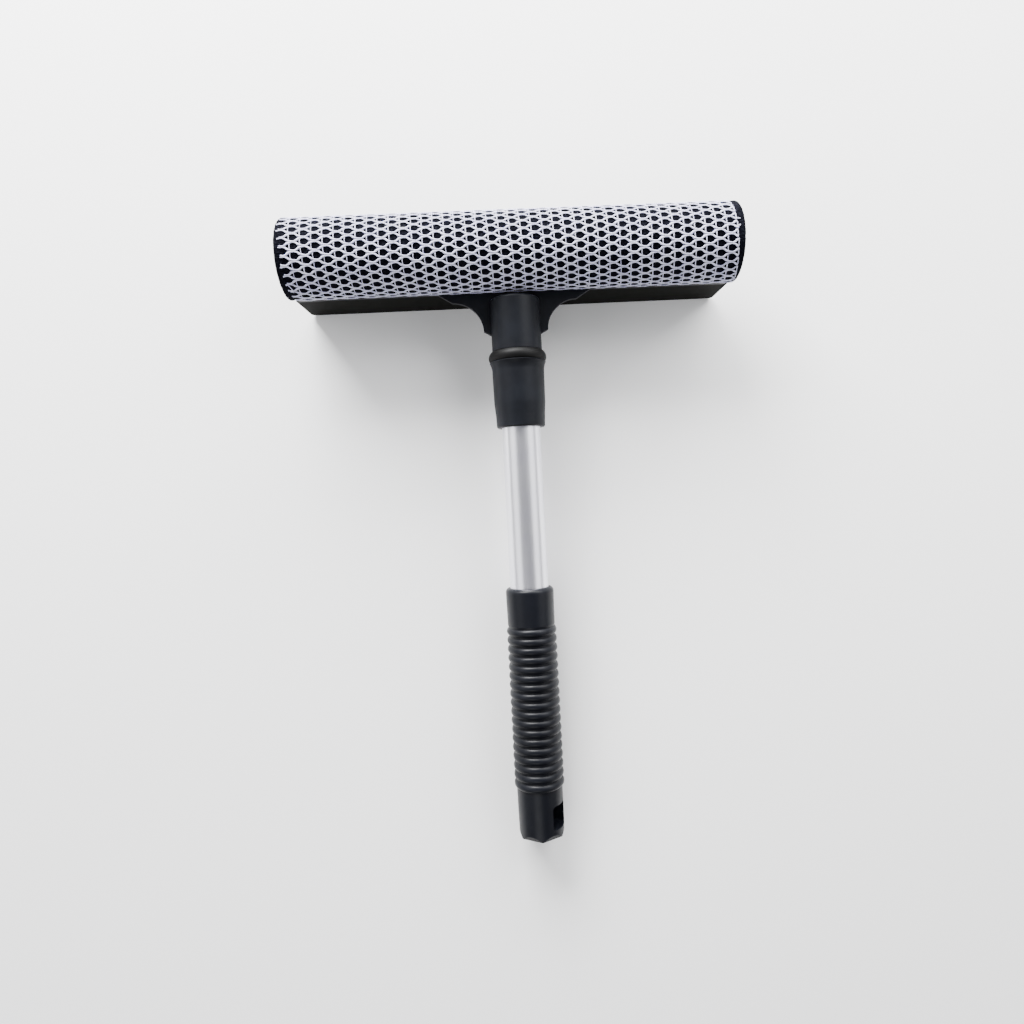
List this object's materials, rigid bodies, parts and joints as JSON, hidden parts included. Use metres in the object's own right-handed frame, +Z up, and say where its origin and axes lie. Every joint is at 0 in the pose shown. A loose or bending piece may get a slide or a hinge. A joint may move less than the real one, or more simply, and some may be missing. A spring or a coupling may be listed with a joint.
{
  "type": "window squeegee",
  "caption": "Hand-held window washer: a net-covered sponge bar and a rubber wiping blade on one head, with a telescopic twist-lock handle, ribbed grip and hanging slot.",
  "frame": {"origin": "middle of the tool's bounding box at the surface that it lies on", "axes": "+Z up, sponge side up; +Y along the handle from grip to head, the handle rising by a few degrees; +X across the head"},
  "size_m": [0.256, 0.3564, 0.0634],
  "materials": {
    "black_plastic": "satin moulded black",
    "grip_plastic": "satin soft-touch black",
    "foam": "open-cell black foam",
    "net": "white knitted net",
    "blade_rubber": "matte dark grey",
    "seal_rubber": "matte dark grey",
    "tube_metal": "polished, anodised",
    "steel": "zinc plated",
    "inner_plastic": "natural nylon"
  },
  "bodies": {
    "handle": {"outer_tube": "tube_metal", "tube_end_plug": "inner_plastic", "collar": "black_plastic", "collar_pin": "steel", "guide_bush": "inner_plastic", "wiper_ring": "seal_rubber", "grip": "grip_plastic"},
    "lock_sleeve": {"lock_collet": "inner_plastic"},
    "head": {"head_body": "black_plastic", "sponge_core": "foam", "net_sleeve": "net", "backing_plate": "inner_plastic", "backing_screws": "steel", "rubber_blade": "blade_rubber", "blade_rivets": "black_plastic", "neck_screw": "steel", "inner_tube": "tube_metal", "lock_plug": "inner_plastic", "plug_pin": "steel", "lock_spindle": "steel", "spindle_stop": "steel"},
    "lock_nut": {"cone_nut": "inner_plastic"}
  },
  "joints": [
    {"name": "extend", "type": "slide", "parent": "handle", "child": "lock_sleeve", "axis": [0, 0.9974, 0.0724], "range_m": [0, 0.15]},
    {"name": "twist_lock", "type": "hinge", "parent": "lock_sleeve", "child": "head", "pos_m": [0, -0.10849, 0.01781], "axis": [0, 0.9974, 0.0724], "range_deg": [0, 180]},
    {"name": "nut_travel", "type": "slide", "parent": "lock_sleeve", "child": "lock_nut", "axis": [0, 0.9974, 0.0724], "range_m": [0, 0.0015]}
  ],
  "couplings": [
    {"joint": "nut_travel", "follows": "twist_lock", "m_per_rad": 0.00047746}
  ]
}
